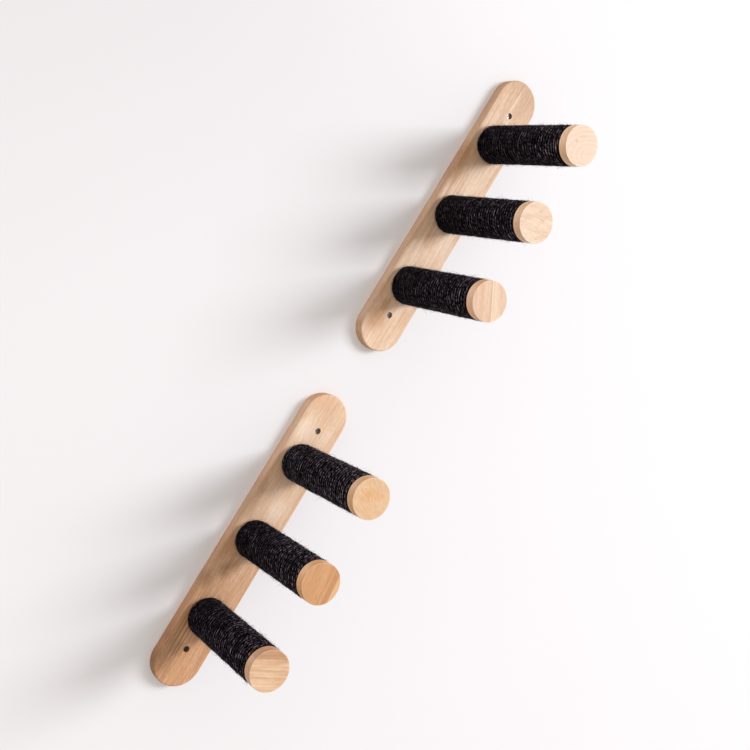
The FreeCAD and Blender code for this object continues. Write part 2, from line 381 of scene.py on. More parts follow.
@dataclass(frozen=True)
class WoodFinish:
    """Sanded and oiled hardwood whose grain runs one way through a piece."""

    pale: Colour
    deep: Colour
    turn: float = 0.0
    lean: float = 0.0
    half_width: float = CORE_RADIUS
    straight: float = 0.0
    pith: Pair = (0.006, 0.05)
    pith_tilt: float = 3.0
    ring_gap: float = 0.005
    ring: float = 0.35
    ring_edge: float = 1.6
    streak: float = 0.45
    streak_gain: float = 2.6
    broad_share: float = 0.55
    cloud: float = 0.5
    pores: float = 0.35
    lines: float = 0.15
    mottle: float = 0.0
    calm: float = 1.0
    calm_tone: float = 0.3
    busy_end: float = -0.09
    calm_end: float = 0.05
    sway: float = 0.006
    drift: float = 0.0012
    # Painted shade on the side faces, and its level at the front and at the back.
    side_shade: Colour = (0.87, 0.79, 0.71)
    side_shade_front: float = 1.0
    side_shade_back: float = 1.0
    rim_tone: Colour = (0.84, 0.74, 0.64)
    rim_width: float = 0.0022
    rim: float = 0.3
    end_grain: float = 0.5
    ragged: float = 0.7
    arris: float = 0.0
    face_turn: float = 0.0
    roughness: float = 0.44
    bump: float = 0.45
    bump_depth: float = 0.00012
    tints: tuple[Tint, ...] = ()
    staves: tuple[Stave, ...] = ()
    name: str = "wood"
    centre: Point = (0.0, 0.0, 0.0)
    seed: float = 0.0

    def on(self, node: str, seed: float) -> Material:
        """Builds the finish for a CAD node, with its own grain."""
        return replace(self, name=f"{node}_wood", centre=box_middle(node), seed=seed).build()

    def build(self) -> Material:
        """Builds the material.

        Returns:
            The material, with its rings, streaks, pores, end grain, painted shade on its sides, eased edges
            and bump.
        """
        graph = SurfaceGraph(self.name)
        local = graph.turned(graph.place(), self.centre, self._turn())
        x, y, z = graph.split(local)
        sway = (self._layer(graph, local, Layer.SWAY) - 0.5) * self.sway
        drift = (self._layer(graph, local, Layer.DRIFT) - 0.5) * self.drift
        grain = graph.join(x + sway + drift, y, z)
        rings = self._rings(graph, grain)
        broad, narrow = self._layer(graph, grain, Layer.BROAD), self._layer(graph, grain, Layer.NARROW)
        streaks = broad * self.broad_share + narrow * (1.0 - self.broad_share)
        fibre = self._layer(graph, grain, Layer.FIBRE)
        lines = self._layer(graph, grain, Layer.LINES).ramp(0.36, 0.64)
        mottle = self._layer(graph, grain, Layer.MOTTLE).ramp(0.38, 0.62)
        dashes = self._layer(graph, grain, Layer.DASHES).ramp(0.60, 0.72)
        clouds = self._layer(graph, local, Layer.CLOUDS)
        busy = z.ramp(self.busy_end, self.calm_end, 1.0, self.calm)
        grained = (rings - 0.5) * self.ring + (streaks - 0.5) * (self.streak_gain * self.streak)
        tone = grained * busy + (1.0 - busy) * self.calm_tone + (clouds - 0.5) * self.cloud + 0.5
        colour = graph.blend(tone, self.pale, self.deep)
        colour = self._staves(graph, colour, x, local)
        colour = self._tints(graph, colour, local)
        for share, shade in (
            (lines * busy * self.lines, LINE_SHADE),
            (mottle * busy * self.mottle, MOTTLE_SHADE),
            (dashes * self.pores, PORE_SHADE),
            ((fibre - 0.5) * 0.8 + 0.25, FIBRE_SHADE),
        ):
            colour = graph.blend(share, colour, shade, "MULTIPLY")
        height = fibre * 0.5 + (1.0 - dashes) * 0.35 + rings * 0.15
        return graph.finish({
            "Base Color": self._edges(graph, colour, (x, y, z)),
            "Roughness": streaks * 0.18 + dashes * 0.1 + self.roughness,
            "Specular IOR Level": 0.35,
            "Normal": graph.relief(height, self.bump_depth, self.bump),
        })

    def _turn(self) -> Euler:
        """Gives the turn that lays Z along the grain."""
        return Euler((math.radians(self.lean), math.radians(self.turn), 0.0))

    def _layer(self, graph: SurfaceGraph, at: Socket, layer: Layer) -> Field:
        """Reads one layer of the grain at a place."""
        across, along, number, detail = layer.value
        return graph.noise(at, (across, across, along), self.seed + number, detail)

    def _rings(self, graph: SurfaceGraph, grain: Socket) -> Field:
        """Draws the yearly rings round a pith that lies off the piece.

        Args:
            graph: The material's nodes.
            grain: The place in the piece, with its grain along Z.

        Returns:
            The rings, from 0 to 1.
        """
        about = graph.turned(grain, (*self.pith, 0.0), (math.radians(self.pith_tilt), 0.0, 0.0))
        inputs = {"Vector": about, "Scale": WAVE_LENGTH / self.ring_gap, "Distortion": 0.0}
        wave = graph.add("ShaderNodeTexWave", inputs, wave_type="RINGS", rings_direction="Z")
        return Field(graph, wave.outputs[1]).power(self.ring_edge)

    def _staves(self, graph: SurfaceGraph, colour: Socket, x: Field, local: Socket) -> Socket:
        """Lays the strips of another colour that run with the grain over the piece's colour.

        Args:
            graph: The material's nodes.
            colour: The colour so far.
            x: The place across the grain.
            local: The place with the grain along Z.

        Returns:
            The colour with its strips.
        """
        across = x + (self._layer(graph, local, Layer.WANDER) - 0.5) * self.drift
        for stave in self.staves:
            start, end, soft = stave.start * MM, stave.end * MM, stave.softness * MM
            inside = across.ramp(start - soft, start + soft) * across.ramp(end - soft, end + soft, 1.0, 0.0)
            colour = graph.blend(inside * stave.strength, colour, stave.colour)
        return colour

    def _tints(self, graph: SurfaceGraph, colour: Socket, local: Socket) -> Socket:
        """Lays the piece's patches of tone over its colour, on the boards also painted peg shadows.

        Args:
            graph: The material's nodes.
            colour: The colour so far.
            local: The place with the grain along Z.

        Returns:
            The colour with its patches.
        """
        ragged = (self._layer(graph, local, Layer.RAGGED) - 0.5) * self.ragged
        face = graph.turned(graph.place(), self.centre, (0.0, math.radians(self.face_turn), 0.0))
        right, _, up = graph.split(face)
        for tint in self.tints:
            over = (right - tint.across * MM) / (tint.half_across * MM)
            along = (up - tint.along * MM) / (tint.half_along * MM)
            share = (graph.length(over, along) + ragged).ramp(0.2, 1.0, tint.strength, 0.0)
            colour = graph.blend(share, colour, tint.tone.value)
        return colour

    def _edges(self, graph: SurfaceGraph, colour: Socket, at: tuple[Field, Field, Field]) -> Socket:
        """Paints shade on the piece's sides and gives its end grain, rim and arris their tones.

        Args:
            graph: The material's nodes.
            colour: The colour so far.
            at: The place across the grain, from the front face to the back, and along the grain.

        Returns:
            The colour with its edges.
        """
        x, y, z = at
        normal = graph.add("ShaderNodeTexCoord").outputs["Normal"]
        inputs = {0: normal, 1: self._turn().to_matrix().col[2]}
        dot = graph.add("ShaderNodeVectorMath", inputs, operation="DOT_PRODUCT")
        end_grain = Field(graph, dot.outputs["Value"]).size().ramp(0.35, 0.95)
        facing = graph.split(normal)[1].size()
        side = facing.ramp(0.05, 0.85, 1.0, 0.0)
        arris = facing.ramp(0.1, 0.4) * facing.ramp(0.85, 0.99, 1.0, 0.0)
        # Painted shade: the sides are multiplied by side_shade, scaled from side_shade_front at the front
        # to side_shade_back at the back.
        levels = (self.side_shade_front, self.side_shade_back)
        front, back = (tuple(value * level for value in self.side_shade) for level in levels)
        tone = graph.blend(y.ramp(-CAP_HALF_DEPTH, CAP_HALF_DEPTH), front, back)
        past = graph.math("MAXIMUM", z.size() - self.straight, 0.0)
        rim = graph.length(x, past).ramp(self.half_width - self.rim_width, self.half_width)
        colour = graph.blend(side, colour, tone, "MULTIPLY")
        colour = graph.blend(end_grain * self.end_grain, colour, END_GRAIN_SHADE, "MULTIPLY")
        colour = graph.blend(rim * self.rim, colour, self.rim_tone, "MULTIPLY")
        return graph.blend(arris * self.arris, colour, ARRIS_TONE)


@dataclass(frozen=True)
class BoardWood(WoodFinish):
    """The wood of a backboard, whose grain runs its length."""

    turn: float = BOARD_TILT
    face_turn: float = BOARD_TILT
    half_width: float = BOARD_WIDTH / 2.0
    straight: float = BOARD_STRAIGHT
    # Painted shade on the board's side faces.
    side_shade: Colour = (0.675, 0.61, 0.525)


@dataclass(frozen=True)
class CapWood(WoodFinish):
    """The wood of an end cap, cut out of a plank, with a paler rim round its face."""

    half_width: float = CAP_RADIUS
    pith: Pair = (0.012, 0.06)
    pith_tilt: float = 4.0
    ring_gap: float = 0.0042
    ring: float = 0.4
    streak: float = 0.5
    pores: float = 0.5
    lines: float = 0.55
    mottle: float = 0.35
    sway: float = 0.0015
    # Painted shade on the cap's side, darker at the front face and paler at the back.
    side_shade: Colour = (0.899, 0.757, 0.615)
    side_shade_front: float = 0.92
    side_shade_back: float = 1.08
    rim_tone: Colour = (1.2, 1.3, 1.45)
    arris: float = 0.3


@dataclass(frozen=True)
class RopeFinish:
    """Black-dyed sisal: dull dark fibre with paler threads, painted highlights and glints on the strands'
    crests and painted shade towards the wall.
    """

    name: str
    dark: Colour
    fibre: Colour
    glint: Colour
    # Painted shade towards the wall: its level at the board and where it starts and ends.
    fresh: float = 0.3
    even: float = 0.04
    wall_shade_at: float = -0.02
    shade_gone_at: float = -0.185
    dashes: Point = (60.0, 1000.0, 1000.0)
    threads: Point = (90.0, 1800.0, 1800.0)
    glints: Point = (160.0, 1500.0, 1500.0)
    bump: float = 0.9
    bump_depth: float = 0.0006

    def build(self) -> Material:
        """Builds the material on the rope's own fibre and crest attributes, with painted highlights on the
        crests and painted shade towards the wall, so it is paler towards the peg's end.

        Returns:
            The material.
        """
        graph = SurfaceGraph(self.name)
        lay = graph.attribute("fibre", "Vector")
        crest = Field(graph, graph.attribute("crest", "Fac"))
        dash = graph.noise(lay, self.dashes, 1.0, 1.0)
        thread = graph.noise(lay, self.threads, 2.0, 1.0)
        glint = graph.noise(lay, self.glints, 3.0, 1.0).ramp(0.62, 0.72)
        # Painted shade: the rope darkens towards the wall, down to fresh near the board.
        paler_rope_and_wall_shade = graph.split(graph.place())[1].ramp(self.wall_shade_at, self.shade_gone_at, self.fresh, 1.0)
        # Painted highlight: the strands' crests take the paler fibre colour and the crevices stay dark,
        # broken up by random dashes.
        worn = crest.ramp(0.75, 1.0) * dash.ramp(0.40, 0.60, self.even, 1.0) * paler_rope_and_wall_shade
        colour = graph.blend(worn * thread.ramp(0.40, 0.60, 0.12, 1.0), self.dark, self.fibre)
        return graph.finish({
            # Painted glints on the lit crests.
            "Base Color": graph.blend(glint * worn, colour, self.glint),
            "Roughness": thread * 0.25 + 0.55,
            "Specular IOR Level": 0.01,
            "Sheen Weight": 0.10,
            "Sheen Tint": (0.88, 0.72, 1.0, 1.0),
            "Sheen Roughness": 0.12,
            "Normal": graph.relief(dash * 0.5 + thread * 0.5, self.bump_depth, self.bump),
        })


@dataclass(frozen=True)
class HairFinish:
    """Single sisal fibres: grey where the dye is thin."""

    name: str
    dark: Colour
    grey: Colour
    patches: Point = (420.0, 420.0, 420.0)

    def build(self) -> Material:
        """Builds the material.

        Returns:
            The material.
        """
        graph = SurfaceGraph(self.name)
        patch = graph.noise(graph.place(), self.patches, 6.0, 1.0)
        return graph.finish({
            "Base Color": graph.blend(patch.ramp(0.40, 0.70), self.dark, self.grey),
            "Roughness": patch * 0.2 + 0.4,
            "Specular IOR Level": 0.05,
        })


@dataclass(frozen=True)
class SteelFinish:
    """Plated steel with a fine worked surface."""

    name: str
    colour: Colour
    worn: Colour
    roughness: float
    seed: float
    clouds: Point = (260.0, 260.0, 260.0)
    tooling: Point = (2200.0, 500.0, 2200.0)
    bump: float = 0.35
    bump_depth: float = 0.00003

    def build(self) -> Material:
        """Builds the material.

        Returns:
            The material.
        """
        graph = SurfaceGraph(self.name)
        place = graph.place()
        cloud = graph.noise(place, self.clouds, self.seed, 3.0)
        tooled = graph.noise(place, self.tooling, self.seed + 2.0, 2.0)
        return graph.finish({
            "Base Color": graph.blend(cloud.ramp(0.3, 0.7), self.colour, self.worn),
            "Metallic": 1.0,
            "Roughness": (cloud - 0.5) * 0.25 + self.roughness,
            "Normal": graph.relief(tooled, self.bump_depth, self.bump),
        })


def show(thing: Object) -> None:
    """Puts an object into the scene."""
    bpy.context.scene.collection.objects.link(thing)


def solid(name: str, spots: list[Point], faces: list[tuple[int, ...]]) -> Mesh:
    """Makes a closed mesh whose faces look outwards.

    Args:
        name: The mesh's name.
        spots: Its corners.
        faces: The corners of each face, by number.

    Returns:
        The mesh.
    """
    mesh = bpy.data.meshes.new(name)
    mesh.from_pydata(spots, [], faces)
    work = bmesh.new()
    work.from_mesh(mesh)
    bmesh.ops.recalc_face_normals(work, faces=work.faces)
    work.to_mesh(mesh)
    work.free()
    return mesh


def dress(node: str, material: Material) -> None:
    """Gives a carried-over CAD node its finish.

    Args:
        node: The node's name.
        material: The finish.
    """
    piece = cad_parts[node]
    piece.data.materials.clear()
    piece.data.materials.append(material)
    LOG.info("%s: finished as %s", node, material.name)


def place_piece(piece: Object, slot: Slot, *nodes: str) -> None:
    """Hangs a finished piece on the body, hides the CAD nodes that it replaces and logs its faces.

    Args:
        piece: The object.
        slot: The record's slot of its finish; not used.
        nodes: The CAD nodes that it replaces.
    """
    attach(piece, BODY)
    if nodes:
        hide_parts(*nodes)
    LOG.info("%s: %d faces", piece.name, len(piece.data.polygons))


class NodeShape(Graph):
    """A Geometry Nodes tree with named inputs that makes plain meshes."""

    def __init__(self, name: str, spec: object) -> None:
        """Starts the tree with a Geometry input and output.

        Args:
            name: The tree's name.
            spec: The dataclass whose sizes feed the inputs, such as path_radius for Path Radius.
        """
        super().__init__(bpy.data.node_groups.new(name, "GeometryNodeTree"))
        self.sizes = {key.replace("_", " ").title(): size for key, size in asdict(spec).items()}
        self.identifiers: dict[str, str] = {}
        for way in ("OUTPUT", "INPUT"):
            self.tree.interface.new_socket("Geometry", in_out=way, socket_type="NodeSocketGeometry")
        self.source = self.add("NodeGroupInput")
        self.target = self.add("NodeGroupOutput")

    def asks(self, kind: str, *names: str) -> list[Field]:
        """Adds named inputs of one type.

        Args:
            kind: Their type, such as Float.
            names: Their names.

        Returns:
            The inputs as fields.
        """
        for name in names:
            socket = self.tree.interface.new_socket(name, in_out="INPUT", socket_type=f"NodeSocket{kind}")
            self.identifiers[name] = socket.identifier
        return [Field(self, self.source.outputs[name]) for name in names]

    def along(self) -> Field:
        """Gives a point's place along its curve, from 0 to 1."""
        return Field(self, self.add("GeometryNodeSplineParameter").outputs["Factor"])

    def wave(self, at: Field) -> Field:
        """Gives a smooth noise along a line, about 0."""
        node = self.add("ShaderNodeTexNoise", {"W": at, "Scale": 1.0, "Detail": 1.0}, noise_dimensions="1D")
        return Field(self, node.outputs[0]) - 0.5

    def off_axis(self, x: Field, z: Field) -> tuple[Field, Field]:
        """Gives how far a point lies to the right of an axis along Y and above it."""
        at_x, _, at_z = self.split(self.add("GeometryNodeInputPosition").outputs[0])
        return at_x - x, at_z - z

    def capture(self, geometry: Socket, *values: object) -> list:
        """Keeps numbers and vectors on a geometry's points, to be read when its shape has changed.

        Args:
            geometry: The geometry.
            values: A field for each number and a socket for each vector.

        Returns:
            The geometry, followed by each kept number as a field and each vector as a socket.
        """
        node = self.add("GeometryNodeCaptureAttribute", domain="POINT")
        for number, value in enumerate(values):
            node.capture_items.new("FLOAT" if isinstance(value, Field) else "VECTOR", f"kept_{number}")
        for number, value in enumerate((geometry, *values)):
            self.feed(node.inputs[number], value)
        kept = [node.outputs[0]]
        for number, value in enumerate(values, 1):
            socket = node.outputs[number]
            kept.append(Field(self, socket) if isinstance(value, Field) else socket)
        return kept

    def paced(self, count: Term) -> list:
        """Gives a straight curve of so many points, and each point's place along it.

        Args:
            count: How many points it has.

        Returns:
            The curve and the place as a field.
        """
        line = self.add("GeometryNodeCurvePrimitiveLine")
        points = self.add("GeometryNodeResampleCurve", {"Curve": line.outputs[0], "Count": count})
        return self.capture(points.outputs[0], self.along())

    def moved(self, geometry: Socket, place: Socket) -> Socket:
        """Sets a geometry's points in new places."""
        return self.add("GeometryNodeSetPosition", {"Geometry": geometry, "Position": place}).outputs[0]

    def tube(self, curve: Socket, girth: Field, sides: int) -> tuple[Socket, Field]:
        """Sweeps a ring along a curve.

        Args:
            curve: The curve.
            girth: The ring's radius along it.
            sides: How many sides the ring has.

        Returns:
            The tube with closed ends, and the place round the ring from 0 to 1.
        """
        ring = self.add("GeometryNodeCurvePrimitiveCircle", {"Resolution": sides, "Radius": 1.0})
        profile, around = self.capture(ring.outputs[0], self.along())
        inputs = {"Curve": curve, "Profile Curve": profile, "Scale": girth, "Fill Caps": True}
        return self.add("GeometryNodeCurveToMesh", inputs).outputs[0], around

    def named(self, mesh: Socket, name: str, value: object) -> Socket:
        """Stores a number or a vector on a mesh's points.

        Args:
            mesh: The mesh.
            name: The attribute's name.
            value: A field for a number or a socket for a vector.

        Returns:
            The mesh with the attribute.
        """
        kind = "FLOAT" if isinstance(value, Field) else "FLOAT_VECTOR"
        inputs = {"Geometry": mesh, "Name": name, "Value": value}
        node = self.add("GeometryNodeStoreNamedAttribute", inputs, data_type=kind, domain="POINT")
        return node.outputs[0]

    def ends(self, geometry: Socket, material: Field) -> None:
        """Ends the tree in Realize Instances and Set Material.

        Args:
            geometry: What the tree has made.
            material: The finish that all of it gets.
        """
        whole = self.add("GeometryNodeRealizeInstances", {"Geometry": geometry}).outputs[0]
        dressed = self.add("GeometryNodeSetMaterial", {"Geometry": whole, "Material": material})
        self.feed(self.target.inputs[0], dressed.outputs[0])

    def make(self, name: str, values: dict[str, object], start: Optional[Mesh] = None) -> Object:
        """Runs the tree and keeps what it makes as a plain mesh.

        Args:
            name: The piece's name.
            values: What the inputs get that aren't sizes.
            start: The mesh that the tree starts from.

        Returns:
            The piece, with no modifier left on it.
        """
        piece = bpy.data.objects.new(name, start or bpy.data.meshes.new(name))
        show(piece)
        modifier = piece.modifiers.new("shape", "NODES")
        modifier.node_group = self.tree
        settings = self.sizes | values
        for key, identifier in self.identifiers.items():
            modifier[identifier] = settings[key]
        view = bpy.context.evaluated_depsgraph_get()
        mesh = bpy.data.meshes.new_from_object(piece.evaluated_get(view), depsgraph=view)
        piece.modifiers.remove(modifier)
        piece.data = mesh
        mesh.name = name
        return piece


class Waver(Enum):
    """What wavers along the rope: how often in a metre, and where its noise starts."""

    TWIST = (28.0, 0.0)
    BED = (31.0, 40.0)
    SIDE = (9.0, 80.0)
    GIRTH = (60.0, 120.0)


@dataclass
class Winding:
    """Twisted rope wound tightly round a peg's core, its ends tucked under the next turn."""

    turns: float = 32.95
    pitch: float = 0.005
    path_radius: float = 0.0227
    heart_radius: float = 0.00235
    strand_radius: float = 0.00170
    strand_rise: float = 0.00135
    strand_spread: float = 0.0011
    lay: float = 0.0178
    strands: int = 3
    sides: int = 6
    steps_per_turn: float = 82.0
    wobble: float = 0.0013
    first_turn: float = -0.0168
    tuck_turns: float = 1.0
    free_turns: float = -0.45
    tuck_depth: float = 0.0012
    tuck_girth: float = 0.3
    bend: float = 0.35
    uneven_twist: float = 13.0
    uneven_side: float = 0.8
    uneven_girth: float = 0.35
    seed_step: float = 7.31
    strand_step: float = 3.7
    fibre_turn: float = 0.6

    def shape(self) -> NodeShape:
        """Builds the node tree of the winding.

        Returns:
            The tree.
        """
        graph = NodeShape("rope_winding", self)
        turns, pitch, path, heart = graph.asks("Float", "Turns", "Pitch", "Path Radius", "Heart Radius")
        strand, rise, spread = graph.asks("Float", "Strand Radius", "Strand Rise", "Strand Spread")
        lay, wobble, first, pace = graph.asks("Float", "Lay", "Wobble", "First Turn", "Steps Per Turn")
        strands, seed = graph.asks("Int", "Strands", "Seed")
        (centre,), (material,) = graph.asks("Vector", "Centre"), graph.asks("Material", "Material")
        start_x, _, start_z = graph.split(centre.socket)

        all_turns = turns + 2.0 * self.tuck_turns
        line, way = graph.paced(graph.math("FLOOR", all_turns * pace))
        inputs = {"Geometry": line, "Amount": strands + 1.0}
        copies = graph.add("GeometryNodeDuplicateElements", inputs, domain="SPLINE")
        number = Field(graph, copies.outputs["Duplicate Index"])
        is_strand = graph.math("MINIMUM", number, 1.0)
        turn = way * all_turns - self.tuck_turns
        angle = turn * math.tau
        along = angle * path
        started, unfinished = (end.ramp(-self.tuck_turns, self.free_turns) for end in (turn, turns - turn))
        free = started * unfinished
        step = graph.math("SMOOTH_MAX", turn, 0.0, self.bend)
        step = graph.math("SMOOTH_MIN", step, turns, self.bend)

        def waver(kind: Waver) -> Field:
            """Gives one of the slow noises along the rope."""
            rate, offset = kind.value
            return graph.wave(along * rate + seed * self.seed_step + offset)

        twist = (along / lay + number / strands) * math.tau + waver(Waver.TWIST) * self.uneven_twist
        bed = path + waver(Waver.BED) * wobble - (1.0 - free) * self.tuck_depth
        out = bed + rise * twist.cos() * is_strand * free
        side = first - step * pitch - spread * twist.sin() * is_strand * free
        side = side + waver(Waver.SIDE) * wobble * self.uneven_side
        spot = graph.join(start_x + out * angle.cos(), side, start_z + out * angle.sin())
        laid = graph.moved(copies.outputs[0], spot)
        thick = heart + (strand - heart) * is_strand
        girth = thick * (free * (1.0 - self.tuck_girth) + self.tuck_girth)
        girth = girth * (waver(Waver.GIRTH) * self.uneven_girth + 1.0)

        rail = graph.join(along + number * self.strand_step, twist, thick)
        curve, rail, bed = graph.capture(laid, rail, bed)
        mesh, around = graph.tube(curve, girth, self.sides)
        rail_along, rail_twist, rail_thick = graph.split(rail)
        facing = around * math.tau - rail_twist * self.fibre_turn
        lie = graph.join(rail_along, rail_thick * facing.cos(), rail_thick * facing.sin())
        mesh = graph.named(mesh, "fibre", lie)
        # How far each point stands out, kept as crest, from which the rope finish paints highlights on the
        # crests.
        reach = graph.length(*graph.off_axis(start_x, start_z)) - bed
        mesh = graph.named(mesh, "crest", reach / (rise + strand))
        smooth = graph.add("GeometryNodeSetShadeSmooth", {"Geometry": mesh})
        graph.ends(smooth.outputs[0], material)
        return graph


@dataclass
class StrayFibres:
    """Loose sisal hairs that stand off the wound rope."""

    density: float = 130000.0
    inner_radius: float = 0.0240
    shortest: float = 0.0022
    longest: float = 0.0060
    straggler: float = 0.0065
    rarity: float = 14.0
    thickness: float = 0.020
    taper: float = 0.7
    fineness: float = 0.0042
    lift: float = 0.85
    flatness: float = 2.6
    lean: float = 0.25
    sway: float = 0.75
    curl: float = 0.05
    droop: float = 0.16
    points: int = 4
    sides: int = 3

    def shape(self) -> NodeShape:
        """Builds the node tree that scatters the hairs over a winding.

        Returns:
            The tree.
        """
        graph = NodeShape("stray_fibres", self)
        density, inner, thickness = graph.asks("Float", "Density", "Inner Radius", "Thickness")
        shortest, longest, straggler = graph.asks("Float", "Shortest", "Longest", "Straggler")
        lift, sway = graph.asks("Float", "Lift", "Sway")
        (seed,), (centre,) = graph.asks("Int", "Seed"), graph.asks("Vector", "Centre")
        (material,) = graph.asks("Material", "Material")

        def chance(low: Term, high: Term, salt: int) -> Field:
            """Gives a random number for each hair."""
            inputs = {2: low, 3: high, "Seed": seed + float(salt)}
            return Field(graph, graph.add("FunctionNodeRandomValue", inputs, data_type="FLOAT").outputs[1])

        def swung(rotation: Node, *angles: Term) -> Node:
            """Turns a rotation about its own axes."""
            both = {0: rotation.outputs[0], 1: graph.join(*angles)}
            return graph.add("FunctionNodeRotateRotation", both, rotation_space="LOCAL")

        middle_x, _, middle_z = graph.split(centre.socket)
        over_x, over_z = graph.off_axis(middle_x, middle_z)
        outer = graph.math("GREATER_THAN", graph.length(over_x, over_z), inner)
        rope = graph.source.outputs["Geometry"]
        inputs = {"Mesh": rope, "Selection": outer, "Density": density, "Seed": seed}
        scatter = graph.add("GeometryNodeDistributePointsOnFaces", inputs)

        axes = {0: graph.join(over_x, 0.0, over_z), 1: graph.join(0.0 - over_z, 0.0, over_x)}
        stand = graph.add("FunctionNodeAxesToRotation", axes, primary_axis="Z", secondary_axis="X")
        flip = graph.math("GREATER_THAN", chance(0.0, 1.0, 4), 0.5) * math.pi
        flipped = swung(stand, 0.0, 0.0, flip)
        raised = chance(0.0, 1.0, 2).power(self.flatness) * lift
        aimed = swung(flipped, chance(-self.lean, self.lean, 1), 0.0 - raised, chance(0.0 - sway, sway, 3))

        line = graph.add("GeometryNodeCurvePrimitiveLine", {"End": (1.0, 0.0, 0.0)})
        bent = graph.add("GeometryNodeResampleCurve", {"Curve": line.outputs[0], "Count": self.points})
        way = graph.along()
        rise = (way * 3.1).sin() * self.curl - way * way * self.droop
        curved = graph.moved(bent.outputs[0], graph.join(way, (way * 4.0).sin() * self.curl, rise))
        hair, _ = graph.tube(curved, thickness * (1.0 - way * self.taper), self.sides)

        length = chance(shortest, longest, 5) + chance(0.0, 1.0, 6).power(self.rarity) * straggler
        girth = graph.math("SQRT", length * self.fineness)
        inputs = {"Points": scatter.outputs["Points"], "Instance": hair, "Rotation": aimed.outputs[0]}
        inputs["Scale"] = graph.join(length, girth, girth)
        graph.ends(graph.add("GeometryNodeInstanceOnPoints", inputs).outputs[0], material)
        return graph


@dataclass(frozen=True)
class Lamp:
    """A soft light."""

    name: str
    place: Point
    size: Pair
    power: float
    colour: Colour = WHITE

    def hang(self, target: Point) -> None:
        """Hangs the lamp.

        Args:
            target: What it looks at.
        """
        data = bpy.data.lights.new(self.name, "AREA")
        data.color = self.colour
        data.shape = "RECTANGLE"
        data.size, data.size_y = self.size
        data.energy = self.power
        lamp = bpy.data.objects.new(self.name, data)
        lamp.location = self.place
        lamp.rotation_euler = (Vector(target) - Vector(self.place)).to_track_quat("-Z", "Y").to_euler()
        show(lamp)


